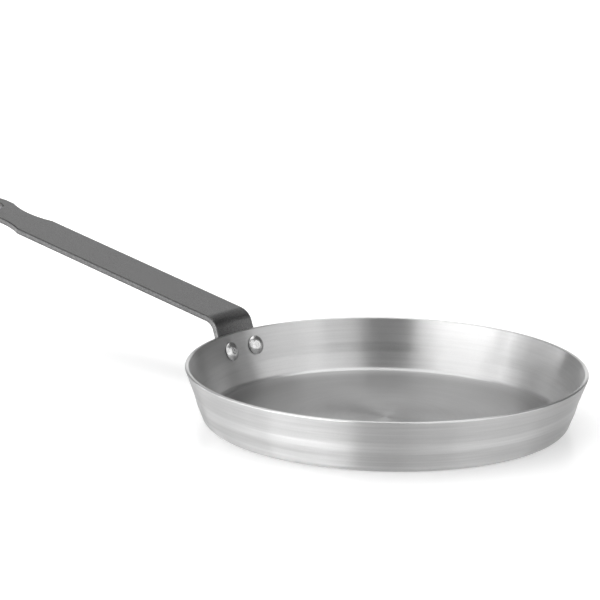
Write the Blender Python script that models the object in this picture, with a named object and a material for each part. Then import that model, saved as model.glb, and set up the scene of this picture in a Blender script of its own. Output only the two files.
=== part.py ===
# Pancake pan: a spun aluminium body and a bent steel strip handle, held together by two rivets.
# The base rests on the plane z = 0, the pan is turned about the Z axis and the handle points along -X.
# All sizes are in metres.

import math

import bmesh
import bpy
from mathutils import Vector

# Pan body: one sheet, spun to a flat base and a wall that leans out, with a steeper band between two creases
RIM_DIAMETER = 0.240
PAN_HEIGHT = 0.033
SHEET_THICKNESS = 0.0024
WALL_LEAN = math.radians(20.6)
BAND_LEAN = math.radians(15)
LOWER_WALL_LEAN = math.radians(21.3)
BAND_HEIGHT = 0.0058
CREASE_ROUND = 0.012
BASE_CORNER_ROUND = 0.0052
LIP_OUTER_ROUND = 0.0008
LIP_INNER_ROUND = 0.0004

# Handle: a strip that rises from its bend to a round eye, with a waist just before the eye
BAR_WIDTH = 0.0324
BAR_THICKNESS = 0.0037
BAR_SLOPE = math.radians(9.8)
BAR_LENGTH = 0.2295
BEND_RISE = 0.0100
BEND_ROUND = 0.0113
EDGE_ROUND = 0.0008
WAIST_LENGTH = 0.036
WAIST_DEPTH = 0.004
WAIST_TO_EYE = 0.0232
HANG_HOLE_DIAMETER = 0.016
HANG_HOLE_EASE = 0.0005

# Foot of the handle: pressed wider and thinner, and curled to the wall
FOOT_WIDTH = 0.040
FOOT_THICKNESS = 0.003
FOOT_BELOW_RIVETS = 0.0046
FOOT_CORNER_ROUND = 0.008
NECK_LENGTH = 0.004

# Rivets: a flattened head inside the pan, a formed tail on the foot
RIVET_PITCH = 0.0222
RIVET_DROP = 0.0097
SHANK_DIAMETER = 0.006
HEAD_DIAMETER = 0.0116
HEAD_HEIGHT = 0.002
HEAD_FLAT_DIAMETER = 0.0062
HEAD_EDGE_HEIGHT = 0.0006
TAIL_DIAMETER = 0.0086
TAIL_HEIGHT = 0.0028
TAIL_FLAT_DIAMETER = 0.0034
TAIL_EDGE_HEIGHT = 0.0008

# Part of the foot above the tails that is already down to the foot's thickness
TAIL_LAND = 0.0006

# Clearances: between faces that rest on each other, round a shank, and from the foot down to the upper crease
SEAT_GAP = 0.0003
SHANK_CLEARANCE = 0.0003
CREASE_CLEARANCE = 0.0002

# How far each cutter stands out of what it cuts
CUTTER_OVERRUN = 0.004

# Facets
BODY_SIDES = 96
RIVET_SIDES = 24
HOLE_SIDES = 32
CORNER_STEPS = 5
CREASE_STEPS = 1
LIP_STEPS = 3
DOME_STEPS = 4
BEND_STEPS = 8
FLARE_STEPS = 5
WAIST_STEPS = 10
EYE_STEPS = 16
CURL_COLUMNS = 2
EDGE_STEPS = 2
SHARP_ANGLE = math.radians(35)
EDGE_ANGLE = math.radians(60)

# Room kept round a fillet by the nearest inner edges of its face, as a multiple of the fillet
FILLET_ROOM = 1.1

# Values that follow from the sizes above
RIVET_HEIGHT = PAN_HEIGHT - RIVET_DROP
BEND_TURN = math.pi / 2 - WALL_LEAN - BAR_SLOPE
BEND_TANGENT = BEND_ROUND * math.tan(BEND_TURN / 2)
WALL_DIRECTION = Vector((math.sin(WALL_LEAN), math.cos(WALL_LEAN)))
BAND_DIRECTION = Vector((math.sin(BAND_LEAN), math.cos(BAND_LEAN)))
LOWER_WALL_DIRECTION = Vector((math.sin(LOWER_WALL_LEAN), math.cos(LOWER_WALL_LEAN)))
BAR_DIRECTION = Vector((math.cos(BAR_SLOPE), math.sin(BAR_SLOPE)))
EYE_RADIUS = BAR_WIDTH / 2
EYE_CENTRE = BAR_LENGTH - EYE_RADIUS

# The wall is straight from the rim to just below the foot of the handle
RIVET_SEAT_HEIGHT = RIVET_HEIGHT - (SHEET_THICKNESS + SEAT_GAP) * math.sin(WALL_LEAN)
FOOT_END_HEIGHT = RIVET_SEAT_HEIGHT - FOOT_BELOW_RIVETS * math.cos(WALL_LEAN)
UPPER_CREASE_HEIGHT = FOOT_END_HEIGHT - CREASE_CLEARANCE
LOWER_CREASE_HEIGHT = UPPER_CREASE_HEIGHT - BAND_HEIGHT


def clear_scene():
    for thing in list(bpy.context.scene.objects):
        bpy.data.objects.remove(thing, do_unlink=True)


def lip_corner_radius():
    """Radius of the lip's outer corner before it is rounded, so that the rounded lip has the rim's diameter."""
    half_angle = (math.pi / 2 - WALL_LEAN) / 2
    return RIM_DIAMETER / 2 + LIP_OUTER_ROUND * (1 / math.tan(half_angle) - 1)


def wall_radius(height):
    """Outer radius of the upper wall, carried on in a straight line, at a height."""
    return lip_corner_radius() - (PAN_HEIGHT - height) * math.tan(WALL_LEAN)


def right_normal(direction):
    """A direction turned a quarter to the right in the plane of a profile."""
    return Vector((direction.y, -direction.x))


def smooth_step(value):
    value = min(max(value, 0.0), 1.0)
    return value * value * (3 - 2 * value)


def inset_corner(corner, before, after, depth):
    """The corner of a path moved by depth to the left of both directions of travel that meet there."""
    left_before = -right_normal(before)
    left_after = -right_normal(after)
    return corner + (left_before + left_after) * depth / (1 + left_before.dot(left_after))


def rounded_path(corners, rounds, steps):
    """The corners joined by straight runs, each corner turned into an arc of its own radius."""
    points = [corners[0]]
    for index in range(1, len(corners) - 1):
        corner = corners[index]
        towards_last = (corners[index - 1] - corner).normalized()
        towards_next = (corners[index + 1] - corner).normalized()
        half_angle = towards_last.angle(towards_next) / 2
        bisector = (towards_last + towards_next).normalized()
        radius = rounds[index]
        centre = corner + bisector * radius / math.sin(half_angle)
        start = corner + towards_last * radius / math.tan(half_angle)
        turn = math.pi - 2 * half_angle
        side = 1 if towards_last.cross(towards_next) < 0 else -1
        for step in range(steps[index] + 1):
            angle = side * turn * step / steps[index]
            points.append(centre + rotated(start - centre, angle))
    points.append(corners[-1])
    return points


def rotated(vector, angle):
    turned_x = vector.x * math.cos(angle) - vector.y * math.sin(angle)
    turned_y = vector.x * math.sin(angle) + vector.y * math.cos(angle)
    return Vector((turned_x, turned_y))


def turned_mesh(name, profile, sides):
    """A closed solid turned about Z from (radius, height) points, with a flat disc at each end."""
    solid = bmesh.new()
    verts = [solid.verts.new((point.x, 0, point.y)) for point in profile]
    edges = [solid.edges.new(pair) for pair in zip(verts, verts[1:])]
    bmesh.ops.spin(
        solid,
        geom=verts + edges,
        cent=(0, 0, 0),
        axis=(0, 0, 1),
        angle=2 * math.pi,
        steps=sides,
        use_merge=True,
    )
    open_edges = [edge for edge in solid.edges if edge.is_boundary]
    bmesh.ops.holes_fill(solid, edges=open_edges, sides=0)
    return finished_mesh(name, solid)


def finished_mesh(name, solid):
    bmesh.ops.recalc_face_normals(solid, faces=solid.faces)
    mesh = bpy.data.meshes.new(name)
    solid.to_mesh(mesh)
    solid.free()
    mesh.shade_smooth()
    mesh.set_sharp_from_angle(angle=SHARP_ANGLE)
    return mesh


def added_object(name, mesh, material=None):
    thing = bpy.data.objects.new(name, mesh)
    bpy.context.scene.collection.objects.link(thing)
    if material:
        mesh.materials.append(material)
    return thing


def metal(name, colour, metallic, roughness):
    material = bpy.data.materials.new(name)
    material.use_nodes = True
    shader = material.node_tree.nodes["Principled BSDF"]
    shader.inputs["Base Color"].default_value = (*colour, 1)
    shader.inputs["Metallic"].default_value = metallic
    shader.inputs["Roughness"].default_value = roughness
    material.diffuse_color = (*colour, 1)
    return material


def body_material():
    return metal("spun_aluminium", (0.80, 0.80, 0.80), 1.0, 0.32)


def handle_material():
    return metal("coated_steel", (0.19, 0.19, 0.19), 0.0, 0.45)


def rivet_material():
    return metal("rivet_aluminium", (0.78, 0.78, 0.78), 1.0, 0.35)


def pan_profile():
    """Half section of the pan, from the middle of the base out, up, over the lip and in to the floor."""
    floor_direction = Vector((1, 0))
    upper = Vector((wall_radius(UPPER_CREASE_HEIGHT), UPPER_CREASE_HEIGHT))
    lower = Vector((upper.x - BAND_HEIGHT * math.tan(BAND_LEAN), LOWER_CREASE_HEIGHT))
    base = Vector((lower.x - LOWER_CREASE_HEIGHT * math.tan(LOWER_WALL_LEAN), 0))
    rim = Vector((wall_radius(PAN_HEIGHT), PAN_HEIGHT))
    inner_rim = rim - Vector((SHEET_THICKNESS / math.cos(WALL_LEAN), 0))
    inner_upper = inset_corner(upper, BAND_DIRECTION, WALL_DIRECTION, SHEET_THICKNESS)
    inner_lower = inset_corner(lower, LOWER_WALL_DIRECTION, BAND_DIRECTION, SHEET_THICKNESS)
    inner_base = inset_corner(base, floor_direction, LOWER_WALL_DIRECTION, SHEET_THICKNESS)
    base_centre = Vector((0, 0))
    floor_centre = Vector((0, SHEET_THICKNESS))
    bends = [
        (base, BASE_CORNER_ROUND, CORNER_STEPS),
        (lower, CREASE_ROUND, CREASE_STEPS),
        (upper, CREASE_ROUND, CREASE_STEPS),
        (rim, LIP_OUTER_ROUND, LIP_STEPS),
        (inner_rim, LIP_INNER_ROUND, LIP_STEPS),
        (inner_upper, CREASE_ROUND + SHEET_THICKNESS, CREASE_STEPS),
        (inner_lower, CREASE_ROUND - SHEET_THICKNESS, CREASE_STEPS),
        (inner_base, BASE_CORNER_ROUND - SHEET_THICKNESS, CORNER_STEPS),
    ]
    corners = [base_centre] + [corner for corner, _, _ in bends] + [floor_centre]
    rounds = [0] + [radius for _, radius, _ in bends] + [0]
    steps = [0] + [count for _, _, count in bends] + [0]
    whole_section = rounded_path(corners, rounds, steps)
    return whole_section[1:-1]


def make_pan_body(hole_cutters):
    mesh = turned_mesh("pan_body", pan_profile(), BODY_SIDES)
    body = added_object("pan_body", mesh, body_material())
    cut_holes(body, hole_cutters)
    return body


def cut_holes(thing, cutters):
    for cutter in cutters:
        modifier = thing.modifiers.new("cut " + cutter.name, "BOOLEAN")
        modifier.operation = "DIFFERENCE"
        modifier.solver = "EXACT"
        modifier.object = cutter


def hide_as_cutter(thing):
    thing.hide_render = True
    thing.display_type = "WIRE"


def seat_radius(height):
    """Radius of the handle's seated face at a height: the upper wall plus the seat gap."""
    return wall_radius(height) + SEAT_GAP / math.cos(WALL_LEAN)


def bend_corner():
    """Where the seated face of the foot and the upper face of the bar would meet without the bend."""
    height = PAN_HEIGHT + BEND_RISE
    return Vector((seat_radius(height), height))


def rivet_seat(side):
    """Middle of a rivet's head seat on the inside of the wall, and the way out through the wall."""
    inner_radius = wall_radius(RIVET_HEIGHT) - SHEET_THICKNESS / math.cos(WALL_LEAN)
    angle = math.asin(RIVET_PITCH / 2 / inner_radius)
    outward = Vector((-math.cos(angle), side * math.sin(angle), 0))
    middle = outward * inner_radius
    middle.z = RIVET_HEIGHT
    way_out = outward * math.cos(WALL_LEAN)
    way_out.z = -math.sin(WALL_LEAN)
    return middle, way_out


def rivet_line():
    """Distance from the bend's corner down the foot to the line of the rivets."""
    return (bend_corner().y - RIVET_SEAT_HEIGHT) / math.cos(WALL_LEAN)


def foot_end():
    """Distance from the bend's corner down the foot to its end."""
    return rivet_line() + FOOT_BELOW_RIVETS


def top_of_foot_corners():
    """Distance from the bend's corner down the foot to the row above its rounded corners."""
    return foot_end() - FILLET_ROOM * FOOT_CORNER_ROUND


def foot_blend(down, end):
    """0 in the neck below the bend, rising to 1 at the end of the blend, at a distance down the foot."""
    neck_end = BEND_TANGENT + NECK_LENGTH
    return smooth_step((down - neck_end) / (end - neck_end))


def foot_row(down):
    """One row across the foot: its point, its way in, half width, thickness and curl."""
    point = bend_corner() - WALL_DIRECTION * down
    widening = foot_blend(down, top_of_foot_corners())
    thinning = foot_blend(down, rivet_line() - TAIL_DIAMETER / 2 - TAIL_LAND)
    half_width = (BAR_WIDTH + (FOOT_WIDTH - BAR_WIDTH) * widening) / 2
    thickness = BAR_THICKNESS + (FOOT_THICKNESS - BAR_THICKNESS) * thinning
    curl = math.cos(WALL_LEAN) / point.x
    return point, right_normal(WALL_DIRECTION), half_width, thickness, curl


def bend_row(part):
    """One row across the bend, from 0 at the foot to 1 at the bar, where the curl has faded out."""
    start = bend_corner() - WALL_DIRECTION * BEND_TANGENT
    centre = start + right_normal(WALL_DIRECTION) * BEND_ROUND
    way_in = rotated(right_normal(WALL_DIRECTION), -BEND_TURN * part)
    point = centre - way_in * BEND_ROUND
    curl = (1 - smooth_step(part)) * math.cos(WALL_LEAN) / start.x
    return point, way_in, BAR_WIDTH / 2, BAR_THICKNESS, curl


def bar_row(along, half_width):
    """One row across the flat bar, at a distance from the bend's corner."""
    point = bend_corner() + BAR_DIRECTION * along
    return point, right_normal(BAR_DIRECTION), half_width, BAR_THICKNESS, 0


def waist_cut(offset):
    """Depth of the waist's arc at a distance from the waist's middle."""
    radius = (WAIST_LENGTH ** 2 / 4 + WAIST_DEPTH ** 2) / (2 * WAIST_DEPTH)
    return math.sqrt(radius ** 2 - offset ** 2) - (radius - WAIST_DEPTH)


def strip_point(row, across, depth):
    """A point of the strip, across from its centre line and below its seated or upper face."""
    point, way_in, half_width, thickness, curl = row
    if curl:
        angle = across * curl
        inward = (math.cos(angle) - 1) / curl + depth * math.cos(angle)
        sideways = math.sin(angle) / curl + depth * math.sin(angle)
    else:
        inward = depth
        sideways = across
    placed = point + way_in * inward
    return Vector((-placed.x, sideways, placed.y))


def curled_rows():
    """The rows of the foot and the bend, from the bottom of the foot up to the bar."""
    neck_end = BEND_TANGENT + NECK_LENGTH
    flare_length = top_of_foot_corners() - neck_end
    rows = [foot_row(foot_end())]
    for step in range(FLARE_STEPS + 1):
        rows.append(foot_row(neck_end + flare_length * (1 - step / FLARE_STEPS)))
    for step in range(BEND_STEPS + 1):
        rows.append(bend_row(step / BEND_STEPS))
    return rows


def flat_rows():
    """The rows of the flat bar, from the start of the waist to the middle of the eye."""
    waist_middle = EYE_CENTRE - WAIST_TO_EYE
    rows = []
    for step in range(WAIST_STEPS + 1):
        offset = WAIST_LENGTH * (step / WAIST_STEPS - 0.5)
        rows.append(bar_row(waist_middle + offset, BAR_WIDTH / 2 - waist_cut(offset)))
    rows.append(bar_row(EYE_CENTRE, EYE_RADIUS))
    return rows


def strip_pair(solid, row, share):
    """The two vertices of the strip, upper and lower, at a share of a row's half width."""
    across = row[2] * share
    thickness = row[3]
    return [solid.verts.new(strip_point(row, across, depth)) for depth in (0, thickness)]


def column_shares():
    """Shares of the half width at which the curled rows have vertices."""
    outer = 1 - FILLET_ROOM * FOOT_CORNER_ROUND / (FOOT_WIDTH / 2)
    inner = [outer * column / CURL_COLUMNS for column in range(-CURL_COLUMNS, CURL_COLUMNS + 1)]
    return [-1] + inner + [1]


def join_rows(solid, row, next_row):
    """Upper and lower faces between two rows: quads where both have as many vertices, else one face."""
    for layer in (0, 1):
        lower = [pair[layer] for pair in row]
        upper = [pair[layer] for pair in next_row]
        if len(lower) == len(upper):
            for index in range(len(lower) - 1):
                solid.faces.new((lower[index], lower[index + 1], upper[index + 1], upper[index]))
        else:
            solid.faces.new(lower + upper[::-1])


def handle_mesh():
    """The whole strip as one closed solid, with square edges except for the foot's filleted corners."""
    solid = bmesh.new()
    rows = []
    for row in curled_rows():
        rows.append([strip_pair(solid, row, share) for share in column_shares()])
    for row in flat_rows():
        rows.append([strip_pair(solid, row, share) for share in (-1, 1)])
    for row, next_row in zip(rows, rows[1:]):
        join_rows(solid, row, next_row)

    eye_arc = []
    for step in range(1, EYE_STEPS):
        angle = math.pi * step / EYE_STEPS
        row = bar_row(EYE_CENTRE + EYE_RADIUS * math.sin(angle), EYE_RADIUS)
        eye_arc.append(strip_pair(solid, row, math.cos(angle)))
    for layer in (0, 1):
        last_row = [pair[layer] for pair in rows[-1]]
        solid.faces.new(last_row + [pair[layer] for pair in eye_arc])

    outline = rows[0][:-1] + [row[-1] for row in rows] + eye_arc + [row[0] for row in rows[:0:-1]]
    for pair, next_pair in zip(outline, outline[1:] + outline[:1]):
        solid.faces.new((pair[0], next_pair[0], next_pair[1], pair[1]))

    foot_corners = [solid.edges.get(rows[0][end]) for end in (0, -1)]
    bmesh.ops.bevel(
        solid,
        geom=foot_corners,
        offset=FOOT_CORNER_ROUND,
        offset_type="OFFSET",
        segments=CORNER_STEPS,
        profile=0.5,
        affect="EDGES",
        clamp_overlap=True,
    )
    return finished_mesh("handle", solid)


def make_hang_hole_cutter():
    """A pin with flared ends, square to the bar, that cuts the hanging hole and eases its edges."""
    radius = HANG_HOLE_DIAMETER / 2
    flare = HANG_HOLE_EASE + CUTTER_OVERRUN
    top = Vector((radius + flare, CUTTER_OVERRUN))
    waist_top = Vector((radius, -HANG_HOLE_EASE))
    waist_bottom = Vector((radius, HANG_HOLE_EASE - BAR_THICKNESS))
    bottom = Vector((radius + flare, -BAR_THICKNESS - CUTTER_OVERRUN))
    mesh = turned_mesh("hang_hole_cutter", [top, waist_top, waist_bottom, bottom], HOLE_SIDES)
    cutter = added_object("hang_hole_cutter", mesh)
    cutter.location = strip_point(bar_row(EYE_CENTRE, EYE_RADIUS), 0, 0)
    cutter.rotation_euler = (0, BAR_SLOPE, 0)
    hide_as_cutter(cutter)
    return cutter


def make_handle(hole_cutters):
    handle = added_object("handle", handle_mesh(), handle_material())
    rounding = handle.modifiers.new("rounded edges", "BEVEL")
    rounding.width = EDGE_ROUND
    rounding.segments = EDGE_STEPS
    rounding.limit_method = "ANGLE"
    rounding.angle_limit = EDGE_ANGLE
    cut_holes(handle, hole_cutters + [make_hang_hole_cutter()])
    return handle


def head_seat():
    """Height of the head's underside, clear of the wall that curves up beside it."""
    inner_radius = wall_radius(RIVET_HEIGHT) - SHEET_THICKNESS / math.cos(WALL_LEAN)
    rise_at_edge = (HEAD_DIAMETER / 2) ** 2 * math.cos(WALL_LEAN) / (2 * inner_radius)
    return -SEAT_GAP - rise_at_edge


def tail_seat():
    """Height of the tail's underside, beyond the wall and the foot."""
    return SHEET_THICKNESS + SEAT_GAP + FOOT_THICKNESS + SEAT_GAP


def dome_profile(seat, height, edge_height, diameter, flat_diameter, way):
    """Outline of a low dome with a flattened top, from its flat to the foot of its edge."""
    radius = diameter / 2
    flat_radius = flat_diameter / 2
    points = []
    for step in range(DOME_STEPS + 1):
        angle = math.pi / 2 * step / DOME_STEPS
        across = flat_radius + (radius - flat_radius) * math.sin(angle)
        rise = edge_height + (height - edge_height) * math.cos(angle)
        points.append(Vector((across, seat + way * rise)))
    points.append(Vector((radius, seat)))
    return points


def rivet_profile():
    """Half outline of a rivet, along its axis from the head to the tail."""
    head = dome_profile(
        head_seat(), HEAD_HEIGHT, HEAD_EDGE_HEIGHT, HEAD_DIAMETER, HEAD_FLAT_DIAMETER, -1
    )
    tail = dome_profile(
        tail_seat(), TAIL_HEIGHT, TAIL_EDGE_HEIGHT, TAIL_DIAMETER, TAIL_FLAT_DIAMETER, 1
    )
    shank_radius = SHANK_DIAMETER / 2
    shank = [Vector((shank_radius, head_seat())), Vector((shank_radius, tail_seat()))]
    return head + shank + tail[::-1]


def place_at_rivet(thing, side):
    middle, way_out = rivet_seat(side)
    thing.location = middle
    thing.rotation_euler = Vector((0, 0, 1)).rotation_difference(way_out).to_euler()


def make_rivet(name, side):
    rivet = added_object(name, turned_mesh(name, rivet_profile(), RIVET_SIDES), rivet_material())
    place_at_rivet(rivet, side)
    return rivet


def make_rivet_hole_cutter(name, side):
    """A plain pin along a rivet's axis that passes the wall and the foot."""
    radius = SHANK_DIAMETER / 2 + SHANK_CLEARANCE
    inner_end = Vector((radius, -CUTTER_OVERRUN))
    outer_end = Vector((radius, tail_seat() + CUTTER_OVERRUN))
    cutter = added_object(name, turned_mesh(name, [inner_end, outer_end], RIVET_SIDES))
    place_at_rivet(cutter, side)
    hide_as_cutter(cutter)
    return cutter


clear_scene()
left_hole = make_rivet_hole_cutter("left_hole_cutter", 1)
right_hole = make_rivet_hole_cutter("right_hole_cutter", -1)
make_pan_body([left_hole, right_hole])
make_handle([left_hole, right_hole])
make_rivet("rivet_left", 1)
make_rivet("rivet_right", -1)
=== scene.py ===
import math
import bpy
from mathutils import Matrix, Vector


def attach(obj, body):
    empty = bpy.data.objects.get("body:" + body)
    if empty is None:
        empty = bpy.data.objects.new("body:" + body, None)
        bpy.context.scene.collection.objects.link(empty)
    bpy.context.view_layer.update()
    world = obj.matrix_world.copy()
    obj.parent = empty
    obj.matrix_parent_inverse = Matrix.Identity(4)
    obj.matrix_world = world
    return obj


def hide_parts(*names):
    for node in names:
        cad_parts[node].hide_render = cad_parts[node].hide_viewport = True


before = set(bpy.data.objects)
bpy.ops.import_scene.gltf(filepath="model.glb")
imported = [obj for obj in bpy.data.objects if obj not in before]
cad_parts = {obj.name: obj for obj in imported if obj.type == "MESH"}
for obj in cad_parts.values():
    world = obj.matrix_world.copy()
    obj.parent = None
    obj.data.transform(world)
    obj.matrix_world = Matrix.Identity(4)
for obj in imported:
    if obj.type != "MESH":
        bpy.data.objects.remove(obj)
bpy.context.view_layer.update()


# Pan body
# One round sheet of bare aluminium, spun over a former to a flat base and a leaning wall.
# The rim is cut square and its edges eased, and the fine rings are the marks of the turning.
RIM_RADIUS = 0.11994
PAN_HEIGHT = 0.033
SHEET = 0.0024
WALL_LEAN = math.radians(20.6)
BAND_LEAN = math.radians(15)
LOWER_LEAN = math.radians(21.3)
UPPER_CREASE, BAND_HEIGHT = 0.01784, 0.0058
CREASE_ROUND, BASE_ROUND = 0.012, 0.0052
LIP_OUTER, LIP_INNER = 0.0008, 0.0008
BODY_SIDES = 360
SMOOTH_ANGLE = 40
CLOSE = 1e-5  # metres within which two places count as one


def pick(piece, part, wanted):
    """Selects the vertices, edges or faces whose corner points meet a test, and nothing else."""
    bpy.ops.object.mode_set(mode="EDIT")
    bpy.ops.mesh.select_mode(type=part)
    bpy.ops.mesh.select_all(action="DESELECT")
    bpy.ops.object.mode_set(mode="OBJECT")
    mesh = piece.data
    points = [vertex.co for vertex in mesh.vertices]
    if part == "VERT":
        for vertex in mesh.vertices:
            vertex.select = wanted([vertex.co])
    elif part == "EDGE":
        for edge in mesh.edges:
            edge.select = wanted([points[i] for i in edge.vertices])
    else:
        for face in mesh.polygons:
            face.select = wanted([points[i] for i in face.vertices])
    bpy.ops.object.mode_set(mode="EDIT")


def finish_modifier(piece, kind, **settings):
    """Adds one modifier, sets it and applies it."""
    modifier = piece.modifiers.new(kind.lower(), kind)
    for setting, value in settings.items():
        setattr(modifier, setting, value)
    bpy.ops.object.modifier_apply(modifier=modifier.name)


def smooth_faces(piece):
    """Smooth shading up to an angle, with the broad faces kept flat beside narrow rounded ones."""
    bpy.ops.object.shade_smooth_by_angle(angle=math.radians(SMOOTH_ANGLE))
    finish_modifier(piece, "WEIGHTED_NORMAL", mode="FACE_AREA", weight=50, keep_sharp=True)


def drawn_rings(name, corners, sides):
    """A closed turned solid: a disc drawn out ring by ring, each (radius, height, round, steps)."""
    bpy.ops.object.select_all(action="DESELECT")
    radius, height = corners[0][:2]
    bpy.ops.mesh.primitive_circle_add(vertices=sides, radius=radius, fill_type="TRIFAN")
    piece = bpy.context.object
    piece.name = piece.data.name = name
    bpy.ops.object.mode_set(mode="EDIT")
    bpy.ops.transform.translate(value=(0, 0, height))
    bpy.ops.mesh.select_mode(type="EDGE")
    bpy.ops.mesh.select_all(action="DESELECT")
    bpy.ops.mesh.select_non_manifold()
    for next_radius, next_height in [corner[:2] for corner in corners[1:]]:
        bpy.ops.mesh.extrude_edges_move(TRANSFORM_OT_translate={"value": (0, 0, next_height - height)})
        growth = next_radius / radius
        bpy.ops.transform.resize(value=(growth, growth, 1), center_override=(0, 0, next_height))
        radius, height = next_radius, next_height
    bpy.ops.mesh.edge_face_add()
    bpy.ops.mesh.poke()
    bpy.ops.mesh.select_all(action="SELECT")
    bpy.ops.mesh.normals_make_consistent(inside=False)

    for index in range(1, len(corners) - 1):
        ring_radius, ring_height, ring_round, steps = corners[index]
        if not ring_round:
            continue
        last, here, following = [Vector(corners[index + step][:2]) for step in (-1, 0, 1)]
        turn = (here - last).angle(following - here)

        def on_ring(ends):
            """Whether an edge lies on this ring."""
            return all(
                abs(math.hypot(end.x, end.y) - ring_radius) < CLOSE and abs(end.z - ring_height) < CLOSE
                for end in ends
            )

        pick(piece, "EDGE", on_ring)
        bpy.ops.mesh.bevel(offset=ring_round * math.tan(turn / 2), segments=steps, clamp_overlap=False)
    bpy.ops.object.mode_set(mode="OBJECT")
    return piece


def inset(radius, height, lean_below, lean_above):
    """The inner corner of the sheet opposite an outer one, between two stretches of wall."""
    across = SHEET / math.cos((lean_above - lean_below) / 2)
    middle = (lean_below + lean_above) / 2
    return radius - across * math.cos(middle), height + across * math.sin(middle)


lip_turn = (math.pi / 2 - WALL_LEAN) / 2
lip_radius = RIM_RADIUS + LIP_OUTER * (1 / math.tan(lip_turn) - 1)
upper_radius = lip_radius - (PAN_HEIGHT - UPPER_CREASE) * math.tan(WALL_LEAN)
lower_crease = UPPER_CREASE - BAND_HEIGHT
lower_radius = upper_radius - BAND_HEIGHT * math.tan(BAND_LEAN)
base_radius = lower_radius - lower_crease * math.tan(LOWER_LEAN)
floor_radius = base_radius + SHEET * math.tan(LOWER_LEAN) - SHEET / math.cos(LOWER_LEAN)
inner_lip = lip_radius - SHEET / math.cos(WALL_LEAN)

# Drawn out from the middle of the underside, up the outside, over the lip and back to the middle of the floor
DISC_RADIUS = 0.040
pan_corners = [
    (DISC_RADIUS, 0, 0, 0),
    (base_radius, 0, BASE_ROUND, 8),
    (lower_radius, lower_crease, CREASE_ROUND, 4),
    (upper_radius, UPPER_CREASE, CREASE_ROUND, 4),
    (lip_radius, PAN_HEIGHT, LIP_OUTER, 6),
    (inner_lip, PAN_HEIGHT, LIP_INNER, 4),
    (*inset(upper_radius, UPPER_CREASE, BAND_LEAN, WALL_LEAN), CREASE_ROUND + SHEET, 4),
    (*inset(lower_radius, lower_crease, LOWER_LEAN, BAND_LEAN), CREASE_ROUND - SHEET, 4),
    (floor_radius, SHEET, BASE_ROUND - SHEET, 8),
    (DISC_RADIUS, SHEET, 0, 0),
]
pan = drawn_rings("pan_body_spun", pan_corners, BODY_SIDES)


# The finish: shared groups of nodes first, then the wall and the floor of the pan
def new_group(name, inputs, output):
    """An empty group with named inputs and one named value output."""
    group = bpy.data.node_groups.new(name, "ShaderNodeTree")
    for title, kind in inputs:
        group.interface.new_socket(title, in_out="INPUT", socket_type="NodeSocket" + kind)
    group.interface.new_socket(output, in_out="OUTPUT", socket_type="NodeSocketFloat")
    return group, group.nodes.new("NodeGroupInput"), group.nodes.new("NodeGroupOutput")


def put(tree, value, socket):
    """Links an output to a socket, or sets the socket to a plain value."""
    if isinstance(value, bpy.types.NodeSocket):
        tree.links.new(value, socket)
    else:
        socket.default_value = value


def maths(tree, operation, *values):
    """A math node on numbers or outputs."""
    made = tree.nodes.new("ShaderNodeMath")
    made.operation = operation
    for socket, value in zip(made.inputs, values):
        put(tree, value, socket)
    return made.outputs[0]


def vector_maths(tree, operation, *values):
    """A vector math node on vectors or outputs, with its vector or its number as the result."""
    made = tree.nodes.new("ShaderNodeVectorMath")
    made.operation = operation
    for socket, value in zip(made.inputs, values):
        put(tree, value, socket)
    return made.outputs["Value" if operation == "LENGTH" else "Vector"]


def noise(tree, vector, scale, detail):
    """Soft noise from 0 to 1 at a point."""
    made = tree.nodes.new("ShaderNodeTexNoise")
    for value, title in ((vector, "Vector"), (scale, "Scale"), (detail, "Detail")):
        put(tree, value, made.inputs[title])
    return made.outputs["Fac"]


def around(tree, amount, value):
    """A factor near 1 that follows a value from 0 to 1, by plus and minus half the amount."""
    return maths(tree, "MULTIPLY_ADD", value, amount, 1 - amount / 2)


def use_group(tree, group, **values):
    """A group in a material, with its inputs given by name."""
    made = tree.nodes.new("ShaderNodeGroup")
    made.node_tree = group
    for title, value in values.items():
        put(tree, value, made.inputs[title])
    return made.outputs[0]


# Long streaks round the axis, as a turning tool and a satin belt leave them
NO_HEIGHT = (1, 1, 0)
STREAK_WANDER = (1.6, 1.6, 0)
turning_marks, taken, given = new_group(
    "turning_marks", [("Position", "Vector"), ("Lines", "Float")], "Marks"
)
flat_place = vector_maths(turning_marks, "MULTIPLY", taken.outputs["Position"], NO_HEIGHT)
radius_here = vector_maths(turning_marks, "LENGTH", flat_place)
height_here = turning_marks.nodes.new("ShaderNodeSeparateXYZ")
turning_marks.links.new(taken.outputs["Position"], height_here.inputs[0])
along = maths(turning_marks, "ADD", radius_here, height_here.outputs["Z"])
along = maths(turning_marks, "MULTIPLY", along, taken.outputs["Lines"])
streak = turning_marks.nodes.new("ShaderNodeCombineXYZ")
turning_marks.links.new(along, streak.inputs["Z"])
wander = vector_maths(turning_marks, "NORMALIZE", flat_place)
wander = vector_maths(turning_marks, "MULTIPLY", wander, STREAK_WANDER)
wander = vector_maths(turning_marks, "ADD", wander, streak.outputs[0])
marks = noise(turning_marks, wander, scale=1.0, detail=3)
turning_marks.links.new(marks, given.inputs["Marks"])

# Soft uneven patches, as handling and cleaning leave them
FINER_PATCHES, FINER_SHARE = 3.7, 0.35
patches, taken, given = new_group("patches", [("Position", "Vector"), ("Scale", "Float")], "Patches")
broad = noise(patches, taken.outputs["Position"], taken.outputs["Scale"], detail=4)
finer_scale = maths(patches, "MULTIPLY", taken.outputs["Scale"], FINER_PATCHES)
fine = noise(patches, taken.outputs["Position"], finer_scale, detail=2)
fine = maths(patches, "MULTIPLY", fine, FINER_SHARE)
mixed = maths(patches, "MULTIPLY_ADD", broad, 1 - FINER_SHARE, fine)
patches.links.new(mixed, given.inputs["Patches"])

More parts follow.
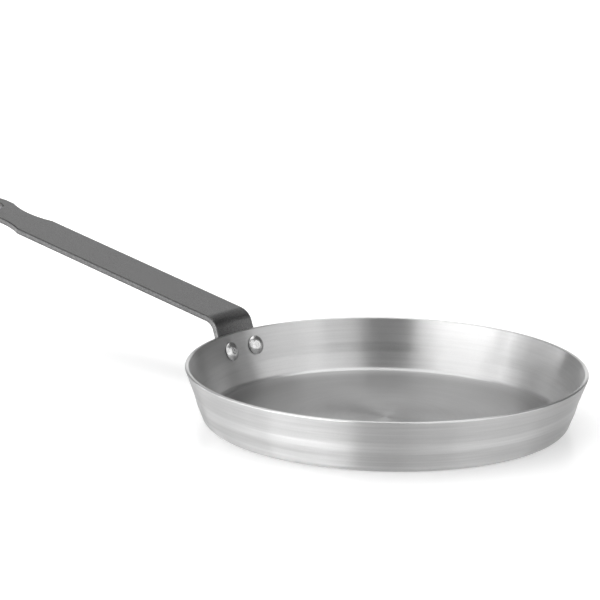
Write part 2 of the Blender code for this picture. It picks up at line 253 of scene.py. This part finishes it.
# Fine grain of a brushed, blasted or coated surface
grain, taken, given = new_group("grain", [("Position", "Vector"), ("Scale", "Float")], "Grain")
specks = noise(grain, taken.outputs["Position"], taken.outputs["Scale"], detail=5)
grain.links.new(specks, given.inputs["Grain"])


def new_material(name, metallic):
    """A material with its tree, its Principled shader and the piece's own coordinates."""
    material = bpy.data.materials.new(name)
    material.use_nodes = True
    tree = material.node_tree
    shader = tree.nodes["Principled BSDF"]
    shader.inputs["Metallic"].default_value = metallic
    place = tree.nodes.new("ShaderNodeTexCoord")
    return material, tree, shader, place.outputs["Object"]


def colour(tree, shader, tone, factor):
    """A neutral base colour: a tone times a factor that changes over the surface."""
    shade = maths(tree, "MULTIPLY", factor, tone)
    grey = tree.nodes.new("ShaderNodeCombineColor")
    for socket in grey.inputs:
        tree.links.new(shade, socket)
    tree.links.new(grey.outputs[0], shader.inputs["Base Color"])


def relief(tree, shader, height, strength, depth):
    """Bumps from a height that changes over the surface."""
    bump = tree.nodes.new("ShaderNodeBump")
    bump.inputs["Strength"].default_value = strength
    bump.inputs["Distance"].default_value = depth
    tree.links.new(height, bump.inputs["Height"])
    tree.links.new(bump.outputs[0], shader.inputs["Normal"])


def ring_of_tone(tree, measure, low, high, soft):
    """1 between two heights or radii and 0 outside them, with soft edges."""
    edges = []
    for start, end in ((low - soft, low + soft), (high - soft, high + soft)):
        edge = tree.nodes.new("ShaderNodeMapRange")
        edge.interpolation_type = "SMOOTHSTEP"
        put(tree, measure, edge.inputs["Value"])
        edge.inputs["From Min"].default_value = start
        edge.inputs["From Max"].default_value = end
        edges.append(edge.outputs["Result"])
    return maths(tree, "SUBTRACT", *edges)


# How close together the marks lie, and how far each changes the tone, the roughness and the relief
BROAD_LINES, FINE_LINES = 420.0, 2100.0
SMUDGE_SCALE, SATIN_SCALE = 28.0, 1500.0
SMUDGE_TONE, SATIN_TONE = 0.10, 0.12
SMUDGE_ROUGHNESS, LINE_ROUGHNESS = 0.35, 0.35
BROAD_RELIEF = 0.8
RELIEF_STRENGTH, RELIEF_DEPTH = 0.12, 0.0003
ACROSS_THE_MARKS = 0.25  # a quarter of a turn, so that reflections stretch across the marks


def spun_metal(name, tone, roughness, anisotropic, streak_tone, rings):
    """Bare aluminium with turning marks round the axis, smudges, a satin grain and rings of painted highlight
    and shade.

    Each ring is (kind, low, high, soft, change): where its height or radius lies between low and high,
    with soft edges, the tone changes by that share.
    """
    material, tree, shader, place = new_material(name, metallic=1.0)
    shader.inputs["Anisotropic"].default_value = anisotropic
    shader.inputs["Anisotropic Rotation"].default_value = ACROSS_THE_MARKS
    turned = tree.nodes.new("ShaderNodeTangent")
    turned.direction_type = "RADIAL"
    turned.axis = "Z"
    tree.links.new(turned.outputs[0], shader.inputs["Tangent"])
    broad = use_group(tree, turning_marks, Position=place, Lines=BROAD_LINES)
    fine = use_group(tree, turning_marks, Position=place, Lines=FINE_LINES)
    smudge = use_group(tree, patches, Position=place, Scale=SMUDGE_SCALE)
    speck = use_group(tree, grain, Position=place, Scale=SATIN_SCALE)
    tones = maths(tree, "MULTIPLY", around(tree, streak_tone, broad), around(tree, SMUDGE_TONE, smudge))
    tones = maths(tree, "MULTIPLY", tones, around(tree, SATIN_TONE, speck))
    for kind, low, high, soft, change in rings:
        if kind == "height":
            split = tree.nodes.new("ShaderNodeSeparateXYZ")
            tree.links.new(place, split.inputs[0])
            measure = split.outputs["Z"]
        else:
            measure = vector_maths(tree, "LENGTH", vector_maths(tree, "MULTIPLY", place, NO_HEIGHT))
        ring = ring_of_tone(tree, measure, low, high, soft)
        tones = maths(tree, "MULTIPLY", tones, maths(tree, "MULTIPLY_ADD", ring, change, 1.0))
    colour(tree, shader, tone, tones)
    rough = maths(
        tree, "MULTIPLY", around(tree, SMUDGE_ROUGHNESS, smudge), around(tree, LINE_ROUGHNESS, broad)
    )
    tree.links.new(maths(tree, "MULTIPLY", rough, roughness), shader.inputs["Roughness"])
    lines = maths(tree, "ADD", fine, maths(tree, "MULTIPLY", broad, BROAD_RELIEF))
    relief(tree, shader, lines, RELIEF_STRENGTH, RELIEF_DEPTH)
    return material


# The inside is painted a little darker towards the lip: a painted shade on its upper wall
BELOW_BASE, ABOVE_RIM = -0.0040, 0.0400
inside_painted_shade = [("height", 0.0160, ABOVE_RIM, 0.0060, -0.07)]
pan.data.materials.append(spun_metal(
    "spun_inside_painted_shade", tone=0.64, roughness=0.34, anisotropic=1.0, streak_tone=0.26, rings=inside_painted_shade
))

# The outside is painted brighter on the band and the base corner, and a little between them: painted
# highlights for the lit floor they reflect. The whole outside is a darker copy of the aluminium, a painted
# shade
outside_painted_highlights = [
    ("height", lower_crease + 0.0008, UPPER_CREASE + 0.0006, 0.0016, 0.18),
    ("height", BELOW_BASE, 0.0060, 0.0030, 0.13),
    ("height", BELOW_BASE, lower_crease, 0.0016, 0.04),
]
pan.data.materials.append(spun_metal(
    "spun_outside_painted_light", tone=0.492, roughness=0.40, anisotropic=1.0, streak_tone=0.42, rings=outside_painted_highlights
))

# The flat floor is painted brighter next to its corner, a painted highlight for the light its rounded corner
# catches. The whole floor is a darker copy of the aluminium, a painted shade
FLOOR_EDGE, PAST_CORNER = 0.0085, 0.01
floor_painted_highlight = [("radius", floor_radius - FLOOR_EDGE, floor_radius + PAST_CORNER, FLOOR_EDGE, 0.48)]
pan.data.materials.append(spun_metal(
    "spun_floor_painted_light", tone=0.375, roughness=0.34, anisotropic=0.7, streak_tone=0.30, rings=floor_painted_highlight
))

# Each face takes the copy of the aluminium for its side, with that copy's painted light and shade: the first
# is the inside's, the others are given here
OUTSIDE, FLAT_FLOOR = 1, 2
LEVEL_NORMAL = 0.999
flat_radius = floor_radius - (BASE_ROUND - SHEET) * math.tan((math.pi / 2 - LOWER_LEAN) / 2)
for face in pan.data.polygons:
    if face.normal.z < 0 and face.normal.dot(face.center) > 0 or face.center.z < SHEET / 2:
        face.material_index = OUTSIDE
    elif face.normal.z > LEVEL_NORMAL and face.center.xy.length < flat_radius:
        face.material_index = FLAT_FLOOR
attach(pan, "root")
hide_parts("pan_body")


# Handle
# One strip of steel, cut to its outline with a waist and a round eye, its foot pressed wider and thinner.
# The foot is curled to the outside of the wall, the strip is bent over the rim, and it is dark coated.
BAR_WIDTH, BAR_THICKNESS = 0.0324, 0.0037
BAR_LENGTH = 0.2295
BAR_SLOPE = math.radians(9.8)
BEND_RISE, BEND_ROUND = 0.0100, 0.0113
WAIST_LENGTH, WAIST_DEPTH, WAIST_TO_EYE = 0.036, 0.004, 0.0232
HANG_HOLE, HOLE_EDGE = 0.008, 0.0005
BAR_EDGE = 0.0008
FOOT_WIDTH, FOOT_THICKNESS = 0.040, 0.003
FOOT_BELOW_RIVETS, FOOT_CORNER = 0.0046, 0.008
NECK_LENGTH = 0.004
NECK_ROWS, WAIST_ROWS, BEND_ROWS = 8, 24, 19
FOOT_CORNER_STEPS, EYE_STEPS = 10, 24
CORNER_MARGIN = 1.1
FOOT_COLUMNS, COLUMN_SPACING = 6, 0.0021
RIVET_PITCH, RIVET_DROP = 0.0222, 0.0097
SEAT_GAP = 0.00036
THINNING_END = 0.0049
bend_turn = math.pi / 2 - WALL_LEAN - BAR_SLOPE
bend_tangent = BEND_ROUND * math.tan(bend_turn / 2)
bend_arc = BEND_ROUND * bend_turn
rivet_drop = BEND_RISE + RIVET_DROP + (SHEET + SEAT_GAP) * math.sin(WALL_LEAN)
rivet_line = bend_tangent - rivet_drop / math.cos(WALL_LEAN)
foot_end = rivet_line - FOOT_BELOW_RIVETS
eye_centre = bend_arc + BAR_LENGTH - bend_tangent - BAR_WIDTH / 2


def eased(value):
    """A smooth step from 0 to 1."""
    value = min(max(value, 0), 1)
    return value * value * (3 - 2 * value)


# The flat blank stands on its foot in the plane y = 0, with the start of the bend at z = 0
corner_top = foot_end + CORNER_MARGIN * FOOT_CORNER
blank_rows = [(foot_end, FOOT_WIDTH), (corner_top, FOOT_WIDTH)]
for step in range(1, NECK_ROWS + 1):
    height = corner_top + (-NECK_LENGTH - corner_top) * step / NECK_ROWS
    widening = eased((height + NECK_LENGTH) / (corner_top + NECK_LENGTH))
    blank_rows.append((height, BAR_WIDTH + (FOOT_WIDTH - BAR_WIDTH) * widening))
waist_radius = (WAIST_LENGTH ** 2 / 4 + WAIST_DEPTH ** 2) / (2 * WAIST_DEPTH)
for step in range(WAIST_ROWS + 1):
    offset = WAIST_LENGTH * (step / WAIST_ROWS - 0.5)
    cut = math.sqrt(waist_radius ** 2 - offset ** 2) - waist_radius + WAIST_DEPTH
    blank_rows.append((eye_centre - WAIST_TO_EYE + offset, BAR_WIDTH - 2 * cut))
blank_rows.append((eye_centre + BAR_WIDTH / 2, BAR_WIDTH))

bpy.ops.object.select_all(action="DESELECT")
bpy.ops.mesh.primitive_plane_add(size=1, rotation=(math.pi / 2, 0, 0))
handle = bpy.context.object
handle.name = handle.data.name = "handle_strip"
bpy.ops.object.transform_apply(location=True, rotation=True, scale=True)
height, width = blank_rows[1]
bpy.ops.object.mode_set(mode="EDIT")
bpy.ops.mesh.select_all(action="SELECT")
bpy.ops.transform.resize(value=(width, 1, height - foot_end))
bpy.ops.transform.translate(value=(0, 0, (height + foot_end) / 2))
pick(handle, "EDGE", lambda ends: all(abs(end.z - height) < CLOSE for end in ends))
for next_height, next_width in blank_rows[2:]:
    bpy.ops.mesh.extrude_edges_move(TRANSFORM_OT_translate={"value": (0, 0, next_height - height)})
    bpy.ops.transform.resize(value=(next_width / width, 1, 1), center_override=(0, 0, next_height))
    height, width = next_height, next_width
pick(handle, "VERT", lambda points: abs(points[0].z - height) < CLOSE)
bpy.ops.mesh.bevel(offset=BAR_WIDTH / 2, affect="VERTICES", segments=EYE_STEPS, clamp_overlap=False)
pick(handle, "VERT", lambda points: abs(points[0].z - foot_end) < CLOSE)
bpy.ops.mesh.bevel(
    offset=FOOT_CORNER, affect="VERTICES", segments=FOOT_CORNER_STEPS, clamp_overlap=False
)
bpy.ops.mesh.select_all(action="SELECT")
bpy.ops.mesh.remove_doubles(threshold=CLOSE)
bpy.ops.object.mode_set(mode="OBJECT")

# Its thickness, thinner in the foot, and its rounded edges, which take the second of two materials, the
# darker copy that paints a shade line along them
full = handle.vertex_groups.new(name="full thickness")
for vertex in handle.data.vertices:
    thinning = eased((vertex.co.z + NECK_LENGTH) / (rivet_line + THINNING_END + NECK_LENGTH))
    full.add([vertex.index], 1 - thinning, "REPLACE")
finish_modifier(
    handle,
    "SOLIDIFY",
    thickness=BAR_THICKNESS,
    offset=-1,
    vertex_group=full.name,
    thickness_vertex_group=FOOT_THICKNESS / BAR_THICKNESS,
    use_even_offset=True,
)
handle.data.materials.append(None)
handle.data.materials.append(None)
finish_modifier(
    handle,
    "BEVEL",
    width=BAR_EDGE,
    segments=4,
    limit_method="ANGLE",
    angle_limit=math.radians(60),
    material=1,
)

HOLE_SIDES = 72


def cut_hole(piece, middle, way, radius, reach):
    """Cuts a round hole through a piece about a line."""
    bpy.ops.object.select_all(action="DESELECT")
    bpy.ops.mesh.primitive_cylinder_add(
        vertices=HOLE_SIDES,
        radius=radius,
        depth=reach,
        location=middle,
        rotation=way.to_track_quat("Z", "Y").to_euler(),
    )
    punch = bpy.context.object
    bpy.context.view_layer.objects.active = piece
    finish_modifier(piece, "BOOLEAN", operation="DIFFERENCE", solver="EXACT", object=punch)
    bpy.data.objects.remove(punch, do_unlink=True)
    piece.select_set(True)


# The hanging hole, with its edges eased
cut_hole(handle, (0, BAR_THICKNESS / 2, eye_centre), Vector((0, 1, 0)), HANG_HOLE, 3 * BAR_THICKNESS)


def on_hole_edge(ends):
    """Whether an edge lies on either rim of the hanging hole."""
    return all(
        abs(math.hypot(end.x, end.z - eye_centre) - HANG_HOLE) < CLOSE
        and min(abs(end.y), abs(end.y - BAR_THICKNESS)) < CLOSE
        for end in ends
    )


pick(handle, "EDGE", on_hole_edge)
bpy.ops.mesh.bevel(offset=HOLE_EDGE, segments=3, clamp_overlap=False)

# Rows and columns that let the foot curl and the strip bend
for step in range(1, BEND_ROWS + 1):
    pick(handle, "FACE", lambda corners: min(corner.z for corner in corners) < bend_arc)
    bpy.ops.mesh.bisect(plane_co=(0, 0, bend_arc * step / BEND_ROWS), plane_no=(0, 0, 1))
for step in range(-FOOT_COLUMNS, FOOT_COLUMNS + 1):
    pick(handle, "FACE", lambda corners: max(corner.z for corner in corners) < bend_arc + CLOSE)
    bpy.ops.mesh.bisect(plane_co=(COLUMN_SPACING * step, 0, 0), plane_no=(1, 0, 0))
bpy.ops.object.mode_set(mode="OBJECT")

# The foot is curled to the wall, and the curl fades out over the bend
curled = handle.vertex_groups.new(name="curled")
for vertex in handle.data.vertices:
    curled.add([vertex.index], 1 - eased(vertex.co.z / bend_arc), "REPLACE")
start_height = PAN_HEIGHT + BEND_RISE - bend_tangent * math.cos(WALL_LEAN)
wall_line = lip_radius + (start_height - PAN_HEIGHT) * math.tan(WALL_LEAN)
start_radius = wall_line + SEAT_GAP / math.cos(WALL_LEAN)
middle_radius = start_radius + rivet_line / 2 * math.sin(WALL_LEAN)
widths = [vertex.co.x for vertex in handle.data.vertices]
finish_modifier(
    handle,
    "SIMPLE_DEFORM",
    deform_method="BEND",
    deform_axis="Z",
    angle=-(max(widths) - min(widths)) * math.cos(WALL_LEAN) / middle_radius,
    vertex_group=curled.name,
)
heights = [vertex.co.z for vertex in handle.data.vertices]
low, high = min(heights), max(heights)
finish_modifier(
    handle,
    "SIMPLE_DEFORM",
    deform_method="BEND",
    deform_axis="X",
    angle=bend_turn,
    limits=(-low / (high - low), (bend_arc - low) / (high - low)),
)
handle.vertex_groups.clear()

# Set against the wall
outward = Vector((-math.cos(WALL_LEAN), 0, -math.sin(WALL_LEAN)))
upward = Vector((-math.sin(WALL_LEAN), 0, math.cos(WALL_LEAN)))
handle.matrix_world = Matrix.Translation((-start_radius, 0, start_height)) @ Matrix(
    ((0, outward.x, upward.x), (1, outward.y, upward.y), (0, outward.z, upward.z))
).to_4x4()
bpy.ops.object.select_all(action="DESELECT")
handle.select_set(True)
bpy.context.view_layer.objects.active = handle
bpy.ops.object.transform_apply(location=True, rotation=True, scale=True)

# The baked coating is grainy, and its rounded edges take a darker copy of it: a painted shade line along the
# edges
COAT_SMUDGE_SCALE, COAT_GRAIN_SCALE = 45.0, 1400.0
COAT_SMUDGE_TONE, COAT_GRAIN_TONE = 0.2, 1.6
COAT_SMUDGE_ROUGHNESS, COAT_GRAIN_ROUGHNESS = 0.3, 0.4
COAT_ROUGHNESS = 0.34
coat_tones = [("dark_coated_steel", 0.130), ("coated_edge_painted_shade", 0.088)]
for index, (name, tone) in enumerate(coat_tones):
    coated_steel, tree, shader, place = new_material(name, metallic=1.0)
    smudge = use_group(tree, patches, Position=place, Scale=COAT_SMUDGE_SCALE)
    speck = use_group(tree, grain, Position=place, Scale=COAT_GRAIN_SCALE)
    tones = around(tree, COAT_SMUDGE_TONE, smudge)
    tones = maths(tree, "MULTIPLY", tones, around(tree, COAT_GRAIN_TONE, speck))
    colour(tree, shader, tone, tones)
    rough = around(tree, COAT_SMUDGE_ROUGHNESS, smudge)
    rough = maths(tree, "MULTIPLY", rough, around(tree, COAT_GRAIN_ROUGHNESS, speck))
    tree.links.new(maths(tree, "MULTIPLY", rough, COAT_ROUGHNESS), shader.inputs["Roughness"])
    relief(tree, shader, speck, strength=0.6, depth=0.0002)
    handle.data.materials[index] = coated_steel
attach(handle, "root")
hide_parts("handle")


# Rivets
# Two solid aluminium rivets through the wall and the foot of the handle.
# Each has a low head inside the pan, flattened by the press, and a tail formed on the foot.
SHANK_RADIUS, SHANK_CLEARANCE = 0.003, 0.0003
HEAD_RADIUS, HEAD_HEIGHT, HEAD_FLAT, HEAD_EDGE = 0.0058, 0.002, 0.0016, 0.0004
PIP_RADIUS, PIP_GROOVE, GROOVE_WIDTH = 0.0010, 0.00009, 0.0004
TAIL_RADIUS, TAIL_HEIGHT, TAIL_FLAT, TAIL_EDGE = 0.0043, 0.0028, 0.0017, 0.0008
RIVET_SIDES, DOME_STEPS = 64, 8
SEAT_SHIFT, SEAT_CLEARANCE = 0.00006, 0.0003  # how far out the rivets sit, and their gap to the metal
DRILL_REACH = 0.024
seat_height = PAN_HEIGHT - RIVET_DROP
seat_radius = SEAT_SHIFT + lip_radius - RIVET_DROP * math.tan(WALL_LEAN) - SHEET / math.cos(WALL_LEAN)
head_seat = -SEAT_CLEARANCE - HEAD_RADIUS ** 2 * math.cos(WALL_LEAN) / (2 * seat_radius)
tail_seat = SHEET + SEAT_CLEARANCE + FOOT_THICKNESS + SEAT_CLEARANCE


def dome(seat, way, radius, rise, flat_radius, edge):
    """Rings of a low dome with a flat top, from the top to the foot of its edge."""
    rings = [(flat_radius / 2, seat + way * rise, 0, 0)]
    for step in range(DOME_STEPS + 1):
        angle = math.pi / 2 * step / DOME_STEPS
        across = flat_radius + (radius - flat_radius) * math.sin(angle)
        rings.append((across, seat + way * (edge + (rise - edge) * math.cos(angle) ** 2), 0, 0))
    rings.append((radius, seat, 0, 0))
    return rings


# From the pip on the head through the groove round it, over the cap, along the shank and over the tail
PIP_CROWN, GROOVE_BRIM = PIP_GROOVE / 5, PIP_GROOVE / 3
pip_top = head_seat - HEAD_HEIGHT
pip_rings = [
    (PIP_RADIUS / 2, pip_top, 0, 0),
    (PIP_RADIUS, pip_top + PIP_CROWN, 0, 0),
    (PIP_RADIUS + GROOVE_WIDTH, pip_top + PIP_GROOVE, 0, 0),
]
cap_height = HEAD_HEIGHT - GROOVE_BRIM
cap_rings = dome(head_seat, -1, HEAD_RADIUS, cap_height, HEAD_FLAT, HEAD_EDGE)[1:]
shank_rings = [(SHANK_RADIUS, head_seat, 0, 0), (SHANK_RADIUS, tail_seat, 0, 0)]
tail_rings = dome(tail_seat, 1, TAIL_RADIUS, TAIL_HEIGHT, TAIL_FLAT, TAIL_EDGE)[::-1]
rivet_rings = pip_rings + cap_rings + shank_rings + tail_rings

# Bare aluminium, bright and a little uneven from the press
RIVET_TONE, RIVET_ROUGHNESS = 0.58, 0.25
PRESSED_SCALE, RIVET_GRAIN_SCALE = 160.0, 1800.0
PRESSED_TONE, RIVET_GRAIN_TONE, PRESSED_ROUGHNESS = 0.3, 0.2, 0.5
rivet_metal, tree, shader, place = new_material("rivet_aluminium", metallic=1.0)
pressed = use_group(tree, patches, Position=place, Scale=PRESSED_SCALE)
speck = use_group(tree, grain, Position=place, Scale=RIVET_GRAIN_SCALE)
tones = maths(tree, "MULTIPLY", around(tree, PRESSED_TONE, pressed), around(tree, RIVET_GRAIN_TONE, speck))
colour(tree, shader, RIVET_TONE, tones)
rough = maths(tree, "MULTIPLY", around(tree, PRESSED_ROUGHNESS, pressed), RIVET_ROUGHNESS)
tree.links.new(rough, shader.inputs["Roughness"])
relief(tree, shader, pressed, strength=0.3, depth=0.0006)

# Both rivets, each square to the wall, with its hole drilled through the wall and the foot
for name, node, side in (("rivet_left_set", "rivet_left", 1), ("rivet_right_set", "rivet_right", -1)):
    rivet = drawn_rings(name, rivet_rings, RIVET_SIDES)
    angle = math.asin(RIVET_PITCH / 2 / seat_radius)
    level = Vector((-math.cos(angle), side * math.sin(angle), 0))
    way = level * math.cos(WALL_LEAN) - Vector((0, 0, math.sin(WALL_LEAN)))
    middle = level * seat_radius + Vector((0, 0, seat_height))
    rivet.matrix_world = Matrix.Translation(middle) @ way.to_track_quat("Z", "Y").to_matrix().to_4x4()
    bpy.ops.object.transform_apply(location=True, rotation=True, scale=True)
    smooth_faces(rivet)
    for piece in (pan, handle):
        cut_hole(piece, middle, way, SHANK_RADIUS + SHANK_CLEARANCE, DRILL_REACH)
    rivet.data.materials.append(rivet_metal)
    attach(rivet, "root")
    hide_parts(node)

# The wall and the strip are smoothed last, once their holes are cut
for piece in (pan, handle):
    bpy.ops.object.select_all(action="DESELECT")
    piece.select_set(True)
    bpy.context.view_layer.objects.active = piece
    smooth_faces(piece)


# Floor, light and camera
# A plain pale floor that keeps the pan's shadow, under a dim grey sky and a ring of soft lamps.
# The camera stands where the photograph was taken from, in front of the pan and a little to its right.
FLOOR_SIZE = 40
bpy.ops.object.select_all(action="DESELECT")
bpy.ops.mesh.primitive_plane_add(size=FLOOR_SIZE)
floor = bpy.context.object
floor.name = "floor"
bpy.ops.object.transform_apply(location=True, rotation=True, scale=True)
floor_material, tree, shader, place = new_material("pale_floor", metallic=0.0)
shader.inputs["Base Color"].default_value = (0.8, 0.8, 0.8, 1)
shader.inputs["Roughness"].default_value = 0.3

# Where it is looked at it also glows, a painted light: least round the pan, so that the pan's shadow stays,
# and white far away, where it paints over faint shadows
path = tree.nodes.new("ShaderNodeLightPath")
seen = maths(tree, "MAXIMUM", path.outputs["Is Camera Ray"], path.outputs["Is Glossy Ray"])
seen = maths(tree, "MAXIMUM", seen, path.outputs["Is Transmission Ray"])
far = tree.nodes.new("ShaderNodeMapRange")
tree.links.new(vector_maths(tree, "LENGTH", place), far.inputs["Value"])
for title, value in (("From Min", 0.2), ("From Max", 1.2), ("To Min", 0.31), ("To Max", 1.0)):
    far.inputs[title].default_value = value
glow = maths(tree, "MULTIPLY", seen, far.outputs["Result"])
shader.inputs["Emission Color"].default_value = (1, 1, 1, 1)
tree.links.new(glow, shader.inputs["Emission Strength"])
floor.data.materials.append(floor_material)

world = bpy.data.worlds.new("grey_studio")
bpy.context.scene.world = world
world.use_nodes = True
background = world.node_tree.nodes["Background"]
background.inputs["Color"].default_value = (1, 1, 1, 1)
background.inputs["Strength"].default_value = 0.14
world.cycles.sampling_method = "NONE"

# Soft boxes that face the pan: name, compass and height angle of the middle, width, height and radiance
LAMP_DISTANCE = 2.2
soft_boxes = [
    ("left_strip", 265.5, 4, 2.1, 0.29, 8.9),
    ("left_low", 262, 15, 1.26, 0.54, 3.4),
    ("left_edge", 285, 15, 0.45, 0.54, 1.3),
    ("between", 236, 11, 0.78, 0.82, 2.5),
    ("side_strip", 204, 4, 2.05, 0.29, 3.5),
    ("side_low", 204, 15, 2.05, 0.54, 0.62),
    ("side_near", 216.5, 13, 1.0, 0.6, 0.75),
    ("side_high", 197, 42, 1.3, 0.8, 0.55),
    ("left_high", 248, 40, 3.17, 1.47, 0.93),
    ("right_near", 337, 35, 0.73, 1.87, 0.97),
    ("right_low", 3, 11, 1.24, 0.82, 1.6),
    ("right_high", 3, 41, 0.94, 1.52, 1.15),
    ("right_far", 32, 22, 1.04, 1.39, 1.32),
    ("right_end", 53, 14, 0.5, 0.8, 0.5),
    ("back", 128, 10, 1.58, 0.54, 1.3),
    ("back_high", 138, 35, 1.2, 1.2, 0.76),
    ("overhead", 130, 80, 2.5, 2.3, 2.0),
]
for name, compass, height_angle, width, height, radiance in soft_boxes:
    compass, height_angle = math.radians(compass), math.radians(height_angle)
    level = Vector((math.cos(compass), math.sin(compass), 0))
    towards = level * math.cos(height_angle) + Vector((0, 0, math.sin(height_angle)))
    lamp_data = bpy.data.lights.new(name, "AREA")
    lamp_data.shape = "ELLIPSE" if name == "overhead" else "RECTANGLE"
    lamp_data.size, lamp_data.size_y = width, height
    filled = math.pi / 4 if name == "overhead" else 1
    lamp_data.energy = math.pi * radiance * width * height * filled
    lamp = bpy.data.objects.new(name, lamp_data)
    lamp.location = towards * LAMP_DISTANCE
    lamp.rotation_euler = towards.to_track_quat("Z", "Y").to_euler()
    lamp.visible_camera = False
    bpy.context.scene.collection.objects.link(lamp)

# The camera as fitted to the outlines of the rim, the base and the handle
camera_data = bpy.data.cameras.new("camera")
camera_data.lens = 207.178
camera_data.sensor_width = 36
camera_data.clip_end = 50
camera = bpy.data.objects.new("camera", camera_data)
camera.location = (1.24486, -1.54277, 0.56940)
camera.rotation_euler = [math.radians(angle) for angle in (75.936, -0.986, 40.657)]
bpy.context.scene.collection.objects.link(camera)
bpy.context.scene.camera = camera

view = bpy.context.scene.view_settings
view.view_transform = "Standard"
